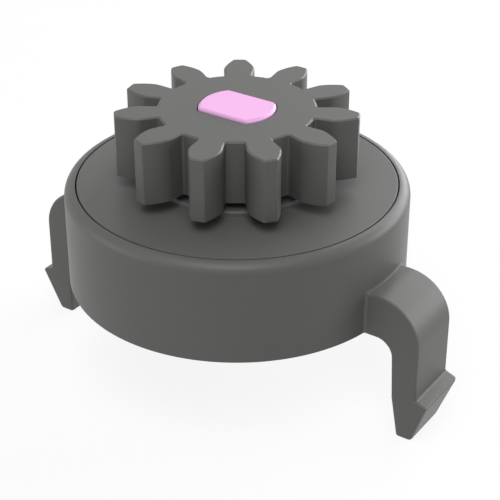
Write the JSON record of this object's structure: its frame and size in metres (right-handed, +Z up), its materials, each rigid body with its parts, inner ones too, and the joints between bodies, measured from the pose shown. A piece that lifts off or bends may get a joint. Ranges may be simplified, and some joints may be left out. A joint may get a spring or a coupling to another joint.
{
  "type": "rotary damper",
  "caption": "Round rotary damper with a pinion on its shaft and two snap legs that clip it into a panel.",
  "frame": {"origin": "centre of the housing's round bottom face, on the shaft's axis, where the damper seats on its panel", "axes": "+Z runs up the shaft towards the gear, and X runs through both snap legs"},
  "size_m": [0.0208, 0.015, 0.0129],
  "materials": {
    "housing_plastic": "fine satin, as moulded",
    "cover_plastic": "fine satin, as moulded",
    "gear_plastic": "fine satin, as moulded",
    "rotor_plastic": "satin, as moulded",
    "seal_rubber": "matt",
    "damping_fluid": "wet gloss"
  },
  "bodies": {
    "housing": {"housing": "housing_plastic", "cover": "cover_plastic", "o_ring": "seal_rubber", "silicone_grease": "damping_fluid"},
    "rotor": {"rotor": "rotor_plastic", "drive_gear": "gear_plastic"}
  },
  "joints": [
    {"name": "rotor_spin", "type": "hinge", "parent": "housing", "child": "rotor", "pos_m": [0, 0, 0], "axis": [0, 0, 1], "continuous": true}
  ]
}
